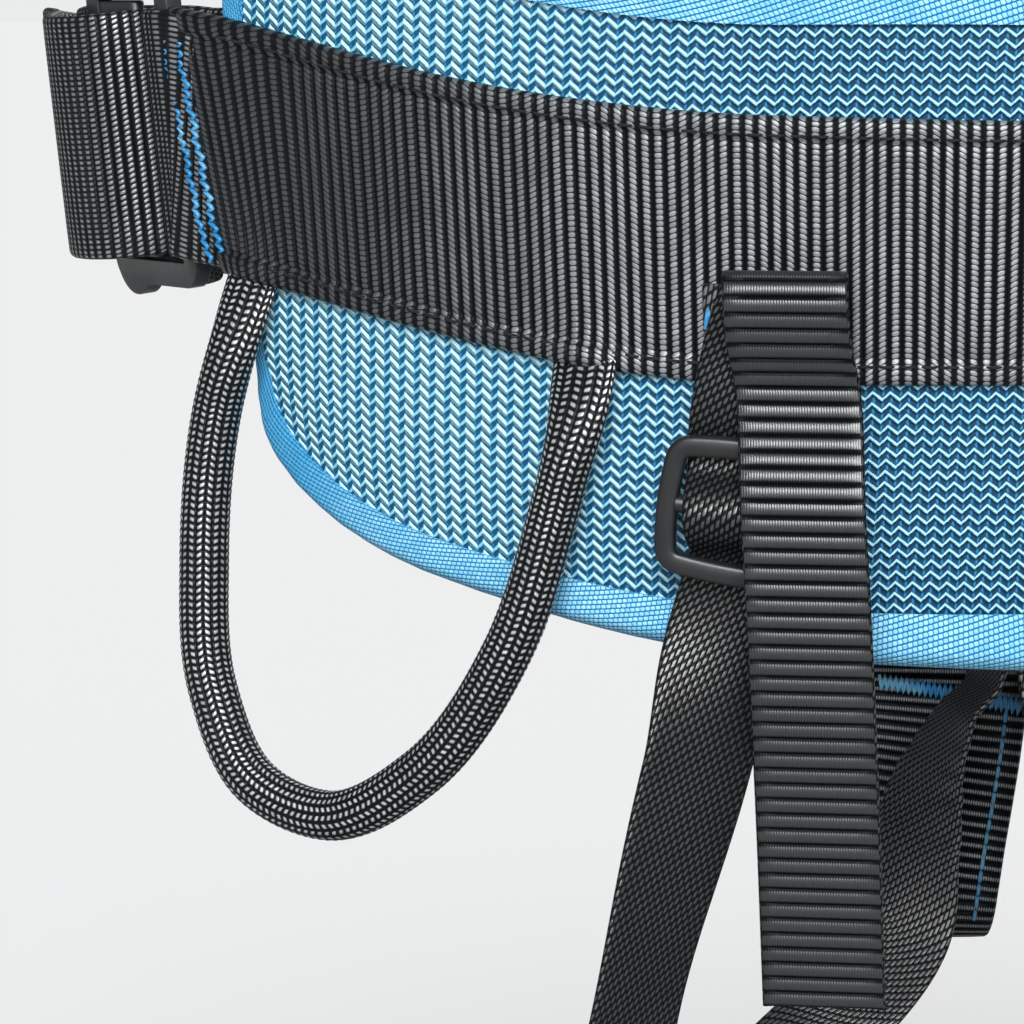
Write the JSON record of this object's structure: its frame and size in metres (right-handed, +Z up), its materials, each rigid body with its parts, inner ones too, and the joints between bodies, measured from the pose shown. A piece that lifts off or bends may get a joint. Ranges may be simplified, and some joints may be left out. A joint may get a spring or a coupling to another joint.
{
  "type": "climbing harness",
  "caption": "Padded climbing harness: a back pad with a webbing belt, slide buckles, gear loops, a belay loop and adjustable padded leg loops on riser straps.",
  "frame": {"origin": "middle of the waist opening, level with the middle of the load band at the back", "axes": "+Z up along the wearer, -Y towards the wearer's front, +X towards the wearer's left"},
  "size_m": [0.3786, 0.2638, 0.3097],
  "materials": {
    "lining": "smooth brushed lining",
    "foam": "closed cell foam",
    "mesh": "light blue zig-zag spacer mesh over dark navy",
    "binding": "blue twill tape",
    "face_fabric": "black ribbed face fabric",
    "webbing": "black woven webbing",
    "riser_webbing": "black ribbed webbing",
    "elastic": "black elastic",
    "buckle_metal": "dark grey satin",
    "glide_plastic": "charcoal satin",
    "sleeve": "black herringbone braid",
    "core": "stiff plastic tube"
  },
  "bodies": {
    "belt": {"back_lining": "lining", "back_foam": "foam", "back_mesh": "mesh", "back_binding": "binding", "load_band": "face_fabric", "waist_strap": "webbing", "waist_loop_left": "webbing", "waist_loop_right": "webbing", "waist_frame_left": "buckle_metal", "waist_frame_right": "buckle_metal", "riser_anchor_left": "riser_webbing", "riser_anchor_right": "riser_webbing", "riser_glide_left": "glide_plastic", "riser_glide_right": "glide_plastic", "riser_strap_left": "riser_webbing", "riser_strap_right": "riser_webbing", "upper_tie_in": "webbing", "lower_tie_in": "webbing", "leg_hanger_left": "riser_webbing", "leg_hanger_right": "riser_webbing"},
    "gear_left": {"gear_loop_left": "sleeve", "gear_core_left": "core"},
    "gear_right": {"gear_loop_right": "sleeve", "gear_core_right": "core"},
    "waist_slide_left": {"waist_slider_left": "buckle_metal"},
    "waist_slide_right": {"waist_slider_right": "buckle_metal"},
    "waist_keep_left": {"waist_keeper_left": "elastic"},
    "waist_keep_right": {"waist_keeper_right": "elastic"},
    "belay": {"belay_loop": "webbing"},
    "leg_left": {"leg_lining_left": "lining", "leg_foam_left": "foam", "leg_mesh_left": "mesh", "leg_binding_left": "binding", "leg_band_left": "face_fabric", "leg_strap_left": "webbing", "leg_loop_left": "webbing", "leg_frame_left": "buckle_metal"},
    "leg_slide_left": {"leg_slider_left": "buckle_metal"},
    "leg_keep_left": {"leg_keeper_left": "elastic"},
    "leg_right": {"leg_lining_right": "lining", "leg_foam_right": "foam", "leg_mesh_right": "mesh", "leg_binding_right": "binding", "leg_band_right": "face_fabric", "leg_strap_right": "webbing", "leg_loop_right": "webbing", "leg_frame_right": "buckle_metal"},
    "leg_slide_right": {"leg_slider_right": "buckle_metal"},
    "leg_keep_right": {"leg_keeper_right": "elastic"}
  },
  "joints": [
    {"name": "gear_left_swing", "type": "hinge", "parent": "belt", "child": "gear_left", "pos_m": [0.13344, 0.0689, -0.01171], "axis": [0.8269, -0.5299, 0.1884], "range_deg": [0, 80]},
    {"name": "gear_right_swing", "type": "hinge", "parent": "belt", "child": "gear_right", "pos_m": [-0.13344, 0.0689, -0.01171], "axis": [0.8269, 0.5299, -0.1884], "range_deg": [0, 80]},
    {"name": "waist_left_release", "type": "slide", "parent": "belt", "child": "waist_slide_left", "axis": [-0.4011, 0.916, 0], "range_m": [0, 0.004]},
    {"name": "waist_right_release", "type": "slide", "parent": "belt", "child": "waist_slide_right", "axis": [0.4011, 0.916, 0], "range_m": [0, 0.004]},
    {"name": "waist_left_keeper", "type": "slide", "parent": "belt", "child": "waist_keep_left", "axis": [-0.5179, -0.8382, -0.1707], "range_m": [-0.003, 0.003]},
    {"name": "waist_right_keeper", "type": "slide", "parent": "belt", "child": "waist_keep_right", "axis": [0.5179, -0.8382, -0.1707], "range_m": [-0.003, 0.003]},
    {"name": "belay_turn", "type": "hinge", "parent": "belt", "child": "belay", "pos_m": [0, -0.12807, 0], "axis": [0, 0, 1], "range_deg": [-15, 15]},
    {"name": "leg_left_lift", "type": "hinge", "parent": "belt", "child": "leg_left", "pos_m": [0.04179, -0.05766, -0.19631], "axis": [1, 0, 0], "range_deg": [0, 45], "deforming": ["riser_strap_left", "leg_hanger_left"]},
    {"name": "leg_left_release", "type": "slide", "parent": "leg_left", "child": "leg_slide_left", "axis": [0.9365, 0.3135, -0.1572], "range_m": [0, 0.004]},
    {"name": "leg_left_keeper", "type": "slide", "parent": "leg_left", "child": "leg_keep_left", "axis": [-0.9083, 0.4179, 0.0196], "range_m": [-0.003, 0.003]},
    {"name": "leg_right_lift", "type": "hinge", "parent": "belt", "child": "leg_right", "pos_m": [-0.04179, -0.05766, -0.19631], "axis": [1, 0, 0], "range_deg": [0, 45], "deforming": ["riser_strap_right", "leg_hanger_right"]},
    {"name": "leg_right_release", "type": "slide", "parent": "leg_right", "child": "leg_slide_right", "axis": [-0.9365, 0.3135, -0.1572], "range_m": [0, 0.004]},
    {"name": "leg_right_keeper", "type": "slide", "parent": "leg_right", "child": "leg_keep_right", "axis": [0.9083, 0.4179, 0.0196], "range_m": [-0.003, 0.003]}
  ]
}
